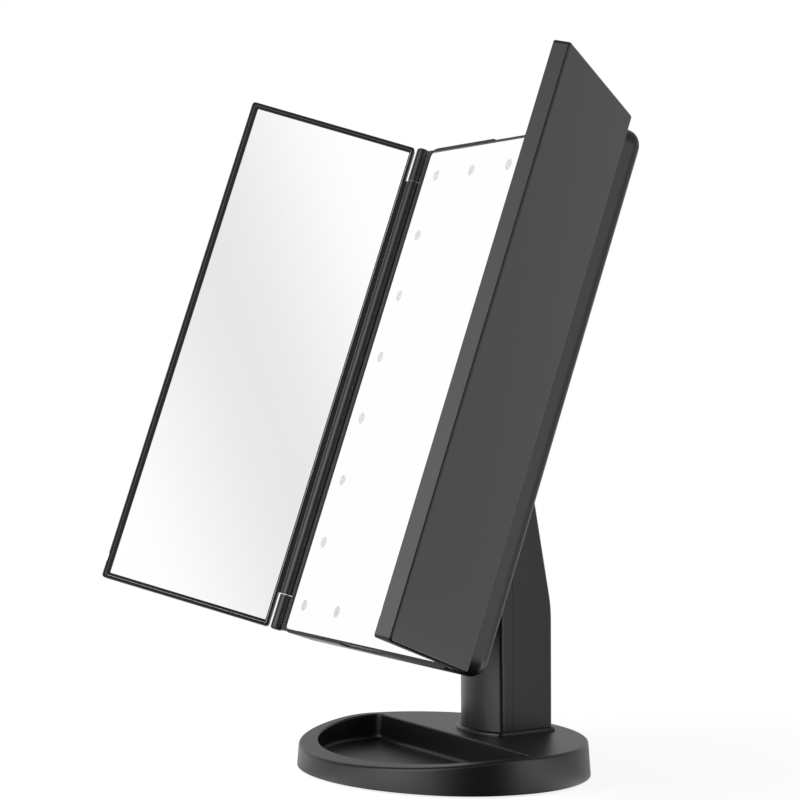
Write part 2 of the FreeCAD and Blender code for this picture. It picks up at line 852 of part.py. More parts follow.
def led_board():
    """Ring-shaped board behind the ledge, cut out round the screw bosses."""
    half_x = panel_half_x - frame_wall - slip
    half_z = panel_half_z - frame_wall - slip
    ring = centred_slab(half_x, half_z, ledge_back, ledge_back + board_thickness, panel_corner - frame_wall)
    inner_x = (led_columns - 1) / 2 * led_column_pitch - led_board_border
    inner_z = (led_rows - 1) / 2 * led_row_pitch - led_board_border
    hole = centred_slab(inner_x, inner_z, 0, housing_depth, glass_corner)
    wells = [rod(boss_radius + slip, V(at.x, 0, at.z), V(at.x, housing_depth, at.z))
             for at in housing_bosses()]
    return cut_from(ring, hole, *wells)


def leds():
    """Light-emitting chips on the board, one behind each window."""
    front = ledge_back - led_height
    return Part.makeCompound([
        block(at.x - led_width / 2, at.x + led_width / 2, front, ledge_back,
              at.z - led_length / 2, at.z + led_length / 2) for at in led_places()
    ])


def touch_pad():
    """Metal sensing disc glued behind the glass in the gap of the lower row of lights."""
    z = -(led_rows - 1) / 2 * led_row_pitch
    return rod(touch_radius, V(0, glass_thickness, z), V(0, glass_thickness + touch_thickness, z))


def control_posts():
    """Centres of the four posts under the control board."""
    x = control_width / 2 - control_post_radius
    z = control_height / 2 - control_post_radius
    return [V(a * x, 0, b * z - control_drop) for a in (-1, 1) for b in (-1, 1)]


def control_board():
    """Board of the touch switch and dimmer, with its chips."""
    back = housing_floor - control_lift
    front = back - board_thickness
    board = block(-control_width / 2, control_width / 2, front, back,
                  -control_drop - control_height / 2, -control_drop + control_height / 2)
    chips = []
    for place in range(chip_count):
        x = (place - (chip_count - 1) / 2) * chip_pitch
        chips.append(block(x - chip_width / 2, x + chip_width / 2, front - chip_thickness, front,
                           -control_drop - chip_height / 2, -control_drop + chip_height / 2))
    return joined(board, *chips)


def hinge_ear():
    """Right ear of the tilt hinge: a disc round the axle that spreads to the housing's back."""
    half = ear_foot_height / 2
    to_foot_y, to_foot_z = -pivot_standoff, half
    spread = acos(ear_radius / hypot(to_foot_y, to_foot_z))
    angle = atan2(to_foot_z, to_foot_y) - spread
    touch_y, touch_z = ear_radius * cos(angle), ear_radius * sin(angle)
    centre = V(ear_near, local_pivot.y, local_pivot.z)
    upper = centre + V(0, touch_y, touch_z)
    lower = centre + V(0, touch_y, -touch_z)
    crown = centre + V(0, ear_radius, 0)
    foot_y = housing_depth - housing_wall / 2 - local_pivot.y
    upper_heel, lower_heel = centre + V(0, to_foot_y, half), centre + V(0, to_foot_y, -half)
    upper_foot, lower_foot = centre + V(0, foot_y, half), centre + V(0, foot_y, -half)
    outline = Part.Wire([
        Part.makeLine(lower_foot, upper_foot), Part.makeLine(upper_foot, upper_heel),
        Part.makeLine(upper_heel, upper), Part.Arc(upper, crown, lower).toShape(),
        Part.makeLine(lower, lower_heel), Part.makeLine(lower_heel, lower_foot),
    ])
    ear = Part.Face(outline).extrude(V(ear_thickness, 0, 0))
    brim = [edge for edge in edges_in_plane(ear, "X", ear_far)
            if edge.BoundBox.YMin > housing_depth - same_place]
    return ear.makeFillet(ear_round, brim)


def rear_housing():
    """Back shell of the panel with rounded edges, and the two ears of the tilt hinge."""
    body = centred_slab(panel_half_x, panel_half_z, frame_depth, housing_depth, panel_corner)
    body = body.makeFillet(housing_round, edges_in_plane(body, "Y", housing_depth))
    room = centred_slab(panel_half_x - housing_wall, panel_half_z - housing_wall,
                        frame_depth, housing_floor, panel_corner - housing_wall)
    room = room.makeFillet(housing_round - housing_wall, edges_in_plane(room, "Y", housing_floor))
    posts = [rod(control_post_radius, V(at.x, housing_floor - control_lift, at.z),
                 V(at.x, housing_floor + housing_wall / 2, at.z)) for at in control_posts()]
    bores = [rod(axle_radius + tight, V(-ear_far, local_pivot.y, local_pivot.z),
                 V(ear_far, local_pivot.y, local_pivot.z))]
    bores += both_sides(rod(cap_radius + tight, V(ear_far - ear_recess, local_pivot.y, local_pivot.z),
                            V(ear_far + overrun, local_pivot.y, local_pivot.z)))
    holes = [rod(screw_hole, V(at.x, 0, at.z), V(at.x, housing_depth, at.z)) for at in housing_bosses()]
    seats = [rod(screw_head_radius + slip, V(at.x, housing_depth - screw_head_height, at.z),
                 V(at.x, housing_depth + overrun, at.z)) for at in housing_bosses()]
    shell = joined(cut_from(body, room), *both_sides(hinge_ear()), *posts)
    return cut_from(shell, *bores, *holes, *seats)


def housing_screws():
    """Screws that hold the rear housing to the frame's bosses."""
    back = V(0, 1, 0)
    tip_y = ledge_back + screw_radius
    seat_y = housing_depth - screw_head_height
    return Part.makeCompound([
        screw(V(at.x, tip_y, at.z), V(at.x, seat_y, at.z), back) for at in housing_bosses()
    ])


def axle_point(x):
    """A point on the tilt axle."""
    return V(x, local_pivot.y, local_pivot.z)


def tilt_axle():
    """Steel bolt through both ears and the post's barrel, with a round head on the right."""
    seat = ear_far - ear_recess
    shank = rod(axle_radius, axle_point(-seat - axle_head_height), axle_point(seat))
    head = rod(axle_head_radius, axle_point(seat), axle_point(seat + axle_head_height))
    return joined(shank, head)


def tilt_nut():
    """Hexagon nut on the left end of the tilt axle."""
    seat = -(ear_far - ear_recess)
    corner_radius = nut_width / 2 / cos(pi / nut_sides)
    turns = [2 * pi * step / nut_sides for step in range(nut_sides)]
    corners = [axle_point(seat) + V(0, corner_radius * cos(turn), corner_radius * sin(turn))
               for turn in turns]
    nut = Part.Face(Part.makePolygon(corners + corners[:1])).extrude(V(-axle_head_height, 0, 0))
    return cut_from(nut, rod(axle_radius + tight, axle_point(seat + overrun),
                             axle_point(seat - axle_head_height - overrun)))


def friction_washers():
    """Two washers that are squeezed between the ears and the post's barrel."""
    near = head_half + washer_gap
    washer = rod(washer_radius, axle_point(near), axle_point(near + washer_thickness))
    hole = rod(axle_radius + running, axle_point(near - overrun), axle_point(near + overrun))
    return Part.makeCompound(both_sides(cut_from(washer, hole)))


def axle_caps():
    """Discs that cover the axle's head and its nut, flush with the ears."""
    return Part.makeCompound(both_sides(
        rod(cap_radius, axle_point(ear_far - cap_thickness), axle_point(ear_far))))


def hinge_pins():
    """Upper and lower pin of the right wing's hinge."""
    return Part.makeCompound([rod(pin_radius, *pin_ends(end)) for end in (-1, 1)])


def wing_shell():
    """Outer shell of a right wing: a flat tray with rounded edges and the long hinge barrel."""
    inner_y, outer_y = wing_set_back, wing_set_back + wing_thickness
    body = slab(wing_near, wing_far, -wing_half_z, wing_half_z, inner_y, outer_y, wing_corner)
    body = body.makeFillet(wing_round, edges_in_plane(body, "Y", outer_y))
    body = body.makeFillet(wing_rim_round, edges_in_plane(body, "Y", inner_y))
    barrel_half = panel_half_z - knuckle_length - swing_gap
    barrel = rod(barrel_radius, V(0, 0, -barrel_half), V(0, 0, barrel_half))
    web = block(0, wing_near + wing_wall / 2, inner_y, wing_web_back, -barrel_half, barrel_half)
    pocket = wing_pocket(0, inner_y - overrun, outer_y - wing_floor)
    bores = [rod(pin_radius + running, V(0, 0, end * (barrel_half + overrun)),
                 V(0, 0, end * (panel_half_z - knuckle_length - pin_reach - swing_gap))) for end in (-1, 1)]
    pry = block(wing_far - pry_reach, wing_far + overrun, inner_y - overrun, inner_y + pry_depth,
                -wing_half_z + pry_rise - pry_width / 2, -wing_half_z + pry_rise + pry_width / 2)
    return cut_from(joined(body, barrel, web), pocket, pry, *bores)


def wing_pocket(gap, y0, y1):
    """Room inside a wing's walls, drawn in by a gap."""
    inset = wing_wall + gap
    half_z = wing_half_z - inset
    return slab(wing_near + inset, wing_far - inset, -half_z, half_z, y0, y1, bezel_corner)


def window_rows(split):
    """Lower and upper edges of a wing's windows: one tall window, or two parted by a bar."""
    low, high = -wing_half_z + bezel_end_rim, wing_half_z - bezel_end_rim
    if not split:
        return [(low, high)]
    bar = high - (high - low) * upper_window_share
    return [(low, bar - bezel_bar / 2), (bar + bezel_bar / 2, high)]


def wing_bezel(split):
    """Frame over the edge of a wing's mirror, with a bevel that leads down to the glass."""
    inner_y = wing_set_back
    frame = wing_pocket(slip, inner_y, inner_y + bezel_thickness)
    x0, x1 = wing_near + bezel_hinge_rim, wing_far - bezel_free_rim
    for z0, z1 in window_rows(split):
        hole = slab(x0, x1, z0, z1, inner_y - overrun, inner_y + overrun, bezel_corner)
        frame = frame.cut(hole)
        mouth = slab(x0 - bezel_bevel, x1 + bezel_bevel, z0 - bezel_bevel, z1 + bezel_bevel,
                     inner_y - bezel_bevel, inner_y + bezel_bevel, bezel_corner)
        mouth = mouth.makeChamfer(bezel_bevel, edges_in_plane(mouth, "Y", inner_y + bezel_bevel))
        frame = frame.cut(mouth)
    return frame.removeSplitter()


def wing_glass_y():
    """Front and back of a wing's mirror."""
    front = wing_set_back + bezel_thickness
    return front, front + wing_glass_thickness


def wing_mirror():
    """Plain mirror that fills a wing."""
    return wing_pocket(slip, *wing_glass_y())


def magnifiers():
    """Lower and upper magnifying mirrors of the right wing, dished to their edges."""
    whole = wing_pocket(slip, *wing_glass_y())
    front = wing_glass_y()[0]
    rows = window_rows(True)
    bar = (rows[0][1] + rows[1][0]) / 2
    middle_x = (wing_near + wing_far) / 2
    pieces = []
    for low, high in ((-wing_half_z, bar - seam), (bar + seam, wing_half_z)):
        piece = whole.common(block(0, wing_far, front - overrun, front + wing_thickness, low, high))
        half_diagonal = hypot(wing_far - wing_near, high - low) / 2
        ball_radius = (half_diagonal ** 2 + dish_depth ** 2) / (2 * dish_depth)
        centre = V(middle_x, front + dish_depth - ball_radius, (low + high) / 2)
        pieces.append(piece.cut(Part.makeSphere(ball_radius, centre)))
    return pieces


def wing_pad():
    """Foam pad between a wing's mirror and the floor of its shell."""
    back = wing_set_back + wing_thickness - wing_floor
    return wing_pocket(slip + bezel_free_rim, wing_glass_y()[1], back)


def pieces():
    """Every piece of the object in its place, by name."""
    lower_magnifier, upper_magnifier = magnifiers()
    stand = {
        "base_shell": base_shell(), "base_plate": base_plate(), "base_screws": base_screws(),
        "foot_ring": foot_ring(), "ballast_plate": ballast_plate(),
        "power_board": power_board(), "usb_socket": usb_socket(),
        "switch_case": switch_case(), "switch_slider": switch_slider(),
        "post_front_shell": post_front_shell(), "post_rear_shell": post_rear_shell(),
        "post_screws": post_screws(), "battery_holder": battery_holder(),
        "battery_contacts": battery_contacts(), "battery_cells": battery_cells(),
        "battery_door": battery_door(),
    }
    panel = {
        "main_frame": main_frame(), "main_mirror": main_mirror(), "led_windows": led_windows(),
        "led_board": led_board(), "leds": leds(), "touch_pad": touch_pad(),
        "control_board": control_board(), "rear_housing": rear_housing(),
        "housing_screws": housing_screws(), "tilt_axle": tilt_axle(), "tilt_nut": tilt_nut(),
        "friction_washers": friction_washers(), "axle_caps": axle_caps(),
        "right_hinge_pins": hinge_pins(), "left_hinge_pins": hinge_pins().mirror(V(0, 0, 0), V(1, 0, 0)),
    }
    left_wing = {
        "left_wing_shell": wing_shell(), "left_wing_bezel": wing_bezel(False),
        "left_mirror": wing_mirror(), "left_mirror_pad": wing_pad(),
    }
    right_wing = {
        "right_wing_shell": wing_shell(), "right_wing_bezel": wing_bezel(True),
        "lower_magnifier": lower_magnifier, "upper_magnifier": upper_magnifier,
        "right_mirror_pad": wing_pad(),
    }
    placed = dict(stand)
    placed.update((name, on_panel(shape)) for name, shape in panel.items())
    placed.update((name, on_left_wing(shape)) for name, shape in left_wing.items())
    placed.update((name, on_right_wing(shape)) for name, shape in right_wing.items())
    return placed


os.makedirs("parts", exist_ok=True)
for name, shape in pieces().items():
    shape.exportStep(f"parts/{name}.step")
    print(name, len(shape.Solids), "solids", round(shape.Volume), "mm3, valid:", shape.isValid())
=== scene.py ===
import math

import bmesh
import bpy
from mathutils import Matrix, Vector


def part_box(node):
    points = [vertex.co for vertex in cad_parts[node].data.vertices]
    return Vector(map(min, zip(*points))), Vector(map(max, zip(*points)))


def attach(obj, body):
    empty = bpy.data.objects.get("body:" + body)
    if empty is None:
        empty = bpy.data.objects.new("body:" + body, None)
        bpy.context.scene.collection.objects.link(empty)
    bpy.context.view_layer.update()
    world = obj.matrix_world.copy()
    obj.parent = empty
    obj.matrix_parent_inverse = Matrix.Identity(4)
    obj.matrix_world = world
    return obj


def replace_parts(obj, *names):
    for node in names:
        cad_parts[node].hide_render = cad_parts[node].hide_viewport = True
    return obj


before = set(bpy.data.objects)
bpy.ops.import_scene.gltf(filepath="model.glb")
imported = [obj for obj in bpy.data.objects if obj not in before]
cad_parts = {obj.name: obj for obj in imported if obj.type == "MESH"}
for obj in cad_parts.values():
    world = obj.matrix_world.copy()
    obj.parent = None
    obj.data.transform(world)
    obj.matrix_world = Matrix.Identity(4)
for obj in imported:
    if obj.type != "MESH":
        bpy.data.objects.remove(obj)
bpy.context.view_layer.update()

# Looks of a tri-fold makeup mirror: moulded plastic, mirrors, lights and hardware. Lengths are in
# metres, and in millimetres where a name or a comment says so.
scene = bpy.context.scene
MM = 0.001
CELL_BARE_MM = 2.0


def linear(hex_colour):
    """Linear colour of an sRGB hex value."""
    parts = [int(hex_colour[i:i + 2], 16) / 255 for i in (1, 3, 5)]
    return [p / 12.92 if p <= 0.04045 else ((p + 0.055) / 1.055) ** 2.4 for p in parts] + [1]


def per(size_mm):
    """Texture scale that gives a pattern of this size."""
    return 1 / (size_mm * MM)


def add(tree, kind, inputs=(), **settings):
    """Adds a node with its settings. Inputs are values, or sockets that feed it."""
    node = tree.nodes.new("ShaderNode" + kind)
    for key, value in settings.items():
        setattr(node, key, value)
    for key, value in dict(inputs).items():
        if isinstance(value, bpy.types.NodeSocket):
            tree.links.new(value, node.inputs[key])
        else:
            node.inputs[key].default_value = value
    return node


def finish(name, **sockets):
    """A new material: its tree, its shader and the place on the piece that patterns follow."""
    material = bpy.data.materials.new(name)
    material.use_nodes = True
    tree = material.node_tree
    shader = tree.nodes["Principled BSDF"]
    for key, value in sockets.items():
        shader.inputs[key.replace("_", " ")].default_value = value
    place = add(tree, "TexCoord").outputs["Object"]
    return material, tree, shader, place


def shade(tree, shader, pattern, socket, low, high):
    """Feeds a shader's number from a pattern between two values."""
    ranged = add(tree, "MapRange", {"Value": pattern, "To Min": low, "To Max": high})
    tree.links.new(ranged.outputs["Result"], shader.inputs[socket])


def tint(tree, shader, pattern, dark, light):
    """Feeds a shader's colour from a pattern between two sRGB colours."""
    mixed = add(tree, "Mix", {0: pattern, 6: linear(dark), 7: linear(light)}, data_type="RGBA")
    tree.links.new(mixed.outputs[2], shader.inputs["Base Color"])


def relief(tree, shader, pattern, height_mm, strength):
    """Raises a pattern on the surface."""
    bump = add(tree, "Bump", {"Height": pattern, "Distance": height_mm * MM, "Strength": strength})
    tree.links.new(bump.outputs["Normal"], shader.inputs["Normal"])


def satin_abs():
    """Moulded ABS from a fine spark-eroded mould: near-black, satin, with soft broad highlights.
    Its grit of about 0.1 mm is drawn at 0.5 mm so that it shows."""
    material, tree, shader, place = finish("abs_satin_moulded", IOR=1.54)
    cloud = add(tree, "TexNoise", {"Vector": place, "Scale": per(22), "Detail": 3.0})
    grit = add(tree, "TexNoise", {"Vector": place, "Scale": per(0.5), "Detail": 2.0})
    tint(tree, shader, cloud.outputs["Fac"], "#0B0A0A", "#0E0D0D")
    shade(tree, shader, grit.outputs["Fac"], "Roughness", 0.33, 0.41)
    relief(tree, shader, grit.outputs["Fac"], 0.02, 0.1)
    return material


def matte_abs():
    """ABS from a coarser mould on faces that aren't seen in use: dull black with a visible grain."""
    material, tree, shader, place = finish("abs_matt_moulded", IOR=1.53)
    cloud = add(tree, "TexNoise", {"Vector": place, "Scale": per(15), "Detail": 3.0})
    grain = add(tree, "TexVoronoi", {"Vector": place, "Scale": per(0.9)}, feature="SMOOTH_F1")
    tint(tree, shader, cloud.outputs["Fac"], "#232323", "#2B2A2A")
    shade(tree, shader, grain.outputs["Distance"], "Roughness", 0.5, 0.7)
    relief(tree, shader, grain.outputs["Distance"], 0.06, 0.25)
    return material


def foot_rubber():
    """Die-cut foam rubber of the foot: soft black with a dusty bloom and open pores."""
    material, tree, shader, place = finish("rubber_die_cut", IOR=1.5)
    bloom = add(tree, "TexNoise", {"Vector": place, "Scale": per(9), "Detail": 4.0})
    pores = add(tree, "TexVoronoi", {"Vector": place, "Scale": per(0.7)})
    tint(tree, shader, bloom.outputs["Fac"], "#161616", "#242322")
    shade(tree, shader, pores.outputs["Distance"], "Roughness", 0.72, 0.92)
    relief(tree, shader, pores.outputs["Distance"], 0.08, 0.3)
    return material


def zinc_plate():
    """Zinc plate on steel: pale blue-white metal with a cloudy passivated sheen."""
    material, tree, shader, place = finish("steel_zinc_plated", Metallic=1.0)
    cloud = add(tree, "TexNoise", {"Vector": place, "Scale": per(2.5), "Detail": 4.0})
    tint(tree, shader, cloud.outputs["Fac"], "#B4BAC2", "#D2D3CC")
    shade(tree, shader, cloud.outputs["Fac"], "Roughness", 0.24, 0.42)
    return material


def black_oxide():
    """Black oxide on screw steel: near-black metal, oily, with brown-grey wear."""
    material, tree, shader, place = finish("steel_black_oxide", Metallic=1.0)
    wear = add(tree, "TexNoise", {"Vector": place, "Scale": per(0.8), "Detail": 4.0})
    tint(tree, shader, wear.outputs["Fac"], "#242426", "#4A4744")
    shade(tree, shader, wear.outputs["Fac"], "Roughness", 0.3, 0.5)
    return material


def nickel_plate():
    """Nickel plate on stamped strip: warm white metal with fine rolling lines along X."""
    material, tree, shader, place = finish("nickel_on_strip", Metallic=1.0)
    along = add(tree, "Mapping", {"Vector": place, "Scale": (0.04, 1, 1)})
    lines = add(tree, "TexNoise", {"Vector": along.outputs[0], "Scale": per(0.2), "Detail": 2.0})
    tint(tree, shader, lines.outputs["Fac"], "#BEB8AA", "#D8D3C8")
    shade(tree, shader, lines.outputs["Fac"], "Roughness", 0.16, 0.34)
    return material


def circuit_board(name, mask, track):
    """Glass-fibre board under a glossy solder mask: flat colour with paler copper tracks below it."""
    material, tree, shader, place = finish(name, IOR=1.5, Roughness=0.28)
    tracks = add(tree, "TexBrick", {
        "Vector": place, "Color1": linear(mask), "Color2": linear(mask), "Mortar": linear(track),
        "Scale": per(4), "Mortar Size": 0.04, "Brick Width": 1.3, "Row Height": 0.6})
    tree.links.new(tracks.outputs["Color"], shader.inputs["Base Color"])
    relief(tree, shader, tracks.outputs["Fac"], 0.03, 0.3)
    return material


def jacket_film():
    """Shrunk plastic film round a dry cell: glossy teal with faint wrinkles, and bare steel at both
    ends, where the film stops."""
    material, tree, shader, place = finish("film_shrunk", IOR=1.5)
    foot, top = [corner.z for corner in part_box("battery_cells")]
    height = add(tree, "SeparateXYZ", {0: place}).outputs["Z"]
    from_middle = add(tree, "Math", {0: height, 1: (foot + top) / 2}, operation="SUBTRACT").outputs[0]
    from_middle = add(tree, "Math", {0: from_middle}, operation="ABSOLUTE").outputs[0]
    film_end = (top - foot) / 2 - CELL_BARE_MM * MM
    bare = add(tree, "Math", {0: from_middle, 1: film_end}, operation="GREATER_THAN").outputs[0]
    wrinkle = add(tree, "TexNoise", {"Vector": place, "Scale": per(6), "Detail": 3.0})
    film = add(tree, "Mix", {0: wrinkle.outputs["Fac"], 6: linear("#12606A"), 7: linear("#16707A")},
               data_type="RGBA").outputs[2]
    both = add(tree, "Mix", {0: bare, 6: film, 7: linear("#C4C3BE")}, data_type="RGBA").outputs[2]
    tree.links.new(both, shader.inputs["Base Color"])
    tree.links.new(bare, shader.inputs["Metallic"])
    shade(tree, shader, wrinkle.outputs["Fac"], "Roughness", 0.18, 0.3)
    relief(tree, shader, wrinkle.outputs["Fac"], 0.05, 0.1)
    return material


def silvered_glass():
    """Float glass silvered behind: a clean mirror whose silver is a touch cool, with no texture
    but a faint cloud in its colour."""
    material, tree, shader, place = finish("glass_silvered", Metallic=1.0, Roughness=0.0)
    cloud = add(tree, "TexNoise", {"Vector": place, "Scale": per(60), "Detail": 1.0})
    tint(tree, shader, cloud.outputs["Fac"], "#FCFDFD", "#FFFFFF")
    return material


def frosted_glass():
    """Glass etched where the silver is left out: milky pale grey, dull, finely pitted."""
    material, tree, shader, place = finish("glass_etched", IOR=1.5)
    pits = add(tree, "TexNoise", {"Vector": place, "Scale": per(0.4), "Detail": 2.0})
    tint(tree, shader, pits.outputs["Fac"], "#D6D7D7", "#DEDFDF")
    shade(tree, shader, pits.outputs["Fac"], "Roughness", 0.55, 0.7)
    return material


def led_resin():
    """Silicone over the phosphor of a white light: waxy yellow, a little clear."""
    material, tree, shader, place = finish("silicone_phosphor", IOR=1.41, Roughness=0.35)
    grain = add(tree, "TexNoise", {"Vector": place, "Scale": per(0.3), "Detail": 2.0})
    tint(tree, shader, grain.outputs["Fac"], "#D8B440", "#E8CB62")
    return material


def copper_foil():
    """Rolled copper foil: orange metal with slight tarnish."""
    material, tree, shader, place = finish("copper_rolled", Metallic=1.0)
    tarnish = add(tree, "TexNoise", {"Vector": place, "Scale": per(3), "Detail": 4.0})
    tint(tree, shader, tarnish.outputs["Fac"], "#B06A48", "#D08A64")
    shade(tree, shader, tarnish.outputs["Fac"], "Roughness", 0.22, 0.42)
    return material


def white_nylon():
    """Turned nylon: waxy off-white, half matt."""
    material, tree, shader, place = finish("nylon_turned", IOR=1.53)
    cloud = add(tree, "TexNoise", {"Vector": place, "Scale": per(2), "Detail": 3.0})
    tint(tree, shader, cloud.outputs["Fac"], "#D9D6CB", "#E6E3DA")
    shade(tree, shader, cloud.outputs["Fac"], "Roughness", 0.4, 0.55)
    return material


def grey_felt():
    """Pressed felt behind a mirror: matt grey with a tangle of fibres. They lie about 0.3 mm apart and
    are drawn at 0.6 mm so that they show."""
    material, tree, shader, place = finish("felt_pressed", IOR=1.5)
    tangle = add(tree, "TexNoise", {"Vector": place, "Scale": per(0.6), "Detail": 6.0, "Distortion": 1.5})
    tint(tree, shader, tangle.outputs["Fac"], "#3A3A3C", "#68686A")
    shade(tree, shader, tangle.outputs["Fac"], "Roughness", 0.85, 1.0)
    relief(tree, shader, tangle.outputs["Fac"], 0.2, 0.5)
    return material


finishes = {
    "satin_black_abs": satin_abs(), "matte_black_abs": matte_abs(), "black_rubber": foot_rubber(),
    "zinc_plated_steel": zinc_plate(), "black_screw_steel": black_oxide(), "nickel_plate": nickel_plate(),
    "green_circuit_board": circuit_board("board_green_mask", "#1C5232", "#2F7347"),
    "white_circuit_board": circuit_board("board_white_mask", "#E4E3DD", "#D2D1C8"),
    "cell_jacket": jacket_film(), "silvered_glass": silvered_glass(), "frosted_glass": frosted_glass(),
    "led_resin": led_resin(), "copper_foil": copper_foil(), "white_nylon": white_nylon(),
    "grey_felt": grey_felt(),
}
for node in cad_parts.values():
    for place in node.material_slots:
        place.material = finishes[place.material.name]


# Fine pieces, in millimetres: screws whose heads show a cross recess. The housing's are placed in the
# panel's own frame, and the base's in the row frame.
PANEL_TILT = 19.0
PANEL_PLACE = (0, -0.67, 166.863)
HEAD_RADIUS = 2.5
HEAD_HEIGHT = 1.1
HEAD_ROUND = 0.55
HEAD_ROUND_STEPS = 4
ARC_PROFILE = 0.5
SHANK_RADIUS = 1.25
CROSS_CELLS = 7
CROSS_DEPTH = 0.75
CROSS_TAPER = 0.55
SMOOTH_ANGLE = 40
HOUSING_SCREW_X = 71.4
HOUSING_SCREW_Z = 90.0
HOUSING_BACK = 17.0
HOUSING_SCREW_LENGTH = 11.75
BASE_SCREW_PLACES = ((52.0, 14.0), (28.0, 38.0))
BASE_SCREW_FOOT = 0.8
BASE_SCREW_LENGTH = 11.15


def show(name, shape, place, body, slot):
    """A piece from a shape in millimetres. It is put in its place, takes a finish and rides a body."""
    shape.transform(place)
    bmesh.ops.recalc_face_normals(shape, faces=shape.faces)
    for face in shape.faces:
        face.smooth = True
    mesh = bpy.data.meshes.new(name)
    shape.to_mesh(mesh)
    shape.free()
    mesh.set_sharp_from_angle(angle=math.radians(SMOOTH_ANGLE))
    mesh.materials.append(finishes[slot])
    piece = bpy.data.objects.new(name, mesh)
    scene.collection.objects.link(piece)
    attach(piece, body)
    return piece


def new_items(result, kind):
    """The corners or edges that an operator made."""
    return [item for item in result["geom"] if isinstance(item, kind)]


def cross_screw(length):
    """Pan-head screw with a cross recess. Its head faces +Z, with the top at the origin."""
    shape = bmesh.new()
    bmesh.ops.create_grid(shape, x_segments=CROSS_CELLS, y_segments=CROSS_CELLS, size=HEAD_RADIUS)
    cell = 2 * HEAD_RADIUS / CROSS_CELLS
    cross = []
    for face in shape.faces:
        near, far = sorted(abs(value) for value in face.calc_center_median().xy)
        if near < cell / 2 and far < HEAD_RADIUS - cell:
            cross.append(face)
    for vert in shape.verts:
        ring = max(abs(vert.co.x), abs(vert.co.y))
        if ring > HEAD_RADIUS / 2:
            vert.co *= ring / vert.co.length
    rim = [edge for edge in shape.edges if edge.is_boundary]
    sunk = new_items(bmesh.ops.extrude_face_region(shape, geom=cross), bmesh.types.BMVert)
    bmesh.ops.delete(shape, geom=cross, context="FACES")
    bmesh.ops.scale(shape, verts=sunk, vec=(CROSS_TAPER, CROSS_TAPER, 1))
    bmesh.ops.translate(shape, verts=sunk, vec=(0, 0, -CROSS_DEPTH))
    open_edges = rim
    for radius, z in ((HEAD_RADIUS, -HEAD_HEIGHT), (SHANK_RADIUS, -HEAD_HEIGHT), (SHANK_RADIUS, -length)):
        wall = bmesh.ops.extrude_edge_only(shape, edges=open_edges)
        for vert in new_items(wall, bmesh.types.BMVert):
            out = vert.co.xy.normalized() * radius
            vert.co = (out.x, out.y, z)
        open_edges = [edge for edge in new_items(wall, bmesh.types.BMEdge) if edge.is_boundary]
    bmesh.ops.edgeloop_fill(shape, edges=open_edges)
    bmesh.ops.bevel(shape, geom=rim, offset=HEAD_ROUND, offset_type="OFFSET", segments=HEAD_ROUND_STEPS,
                    profile=ARC_PROFILE, affect="EDGES", material=-1)
    return shape


def screw_set(length, places):
    """Several screws as one shape, each with its head's top at its place and facing the place's +Z."""
    whole = bmesh.new()
    for place in places:
        one = cross_screw(length)
        one.transform(place)
        copy = bpy.data.meshes.new("screw")
        one.to_mesh(copy)
        one.free()
        whole.from_mesh(copy)
        bpy.data.meshes.remove(copy)
    return whole


row = Matrix.Scale(MM, 4)
panel = row @ Matrix.Translation(PANEL_PLACE) @ Matrix.Rotation(-math.radians(PANEL_TILT), 4, "X")
backward = Matrix.Rotation(-math.pi / 2, 4, "X")
downward = Matrix.Rotation(math.pi, 4, "X")
housing_places = [
    Matrix.Translation((side * HOUSING_SCREW_X, HOUSING_BACK, rank * HOUSING_SCREW_Z)) @ backward
    for side in (-1, 1) for rank in (-1, 0, 1)
]
base_places = [
    Matrix.Translation((side * x, y, BASE_SCREW_FOOT)) @ downward
    for side in (-1, 1) for x, y in BASE_SCREW_PLACES
]
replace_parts(show("housing_screw_set", screw_set(HOUSING_SCREW_LENGTH, housing_places), panel, "panel",
                 "black_screw_steel"), "housing_screws")
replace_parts(show("base_screw_set", screw_set(BASE_SCREW_LENGTH, base_places), row, "stand",
                 "zinc_plated_steel"), "base_screws")

# The camera stands low at the right of the front, far off, with a long lens.
CAMERA_PLACE_MM = (921.9, -502.3, 175.0)
CAMERA_AZIMUTH = 62.42
CAMERA_ELEVATION = 0.72
LENS_MM = 107.96
SENSOR_MM = 36.0


def direction(azimuth, elevation):
    """Unit vector at an azimuth from +X towards +Y, and an elevation."""
    a, e = math.radians(azimuth), math.radians(elevation)
    return Vector((math.cos(a) * math.cos(e), math.sin(a) * math.cos(e), math.sin(e)))


to_camera = direction(CAMERA_AZIMUTH - 90, CAMERA_ELEVATION)
camera = bpy.data.objects.new("camera", bpy.data.cameras.new("camera"))
camera.data.sensor_width = SENSOR_MM
camera.data.lens = LENS_MM
camera.location = Vector(CAMERA_PLACE_MM) * MM
camera.rotation_euler = to_camera.to_track_quat("Z", "Y").to_euler()
scene.collection.objects.link(camera)
scene.camera = camera

# Softboxes: name, azimuth, elevation, distance, width, height, power. Their own outlines stay out
# of reflections, where the cards of the room stand for them.
SUBJECT = Vector((0, 0, 0.12))
SOFTBOXES = (
    ("key_softbox", -95, 42, 1.4, 1.0, 0.8, 13.0),
    ("fill_softbox", 60, 35, 1.6, 1.0, 1.0, 3.0),
)
for name, azimuth, elevation, distance, width, height, power in SOFTBOXES:
    lamp = bpy.data.lights.new(name, "AREA")
    lamp.shape = "RECTANGLE"
    lamp.size, lamp.size_y, lamp.energy = width, height, power
    box = bpy.data.objects.new(name, lamp)
    box.location = SUBJECT + direction(azimuth, elevation) * distance
    box.rotation_euler = direction(azimuth, elevation).to_track_quat("Z", "Y").to_euler()
    box.visible_camera = False
    box.visible_glossy = False
    scene.collection.objects.link(box)

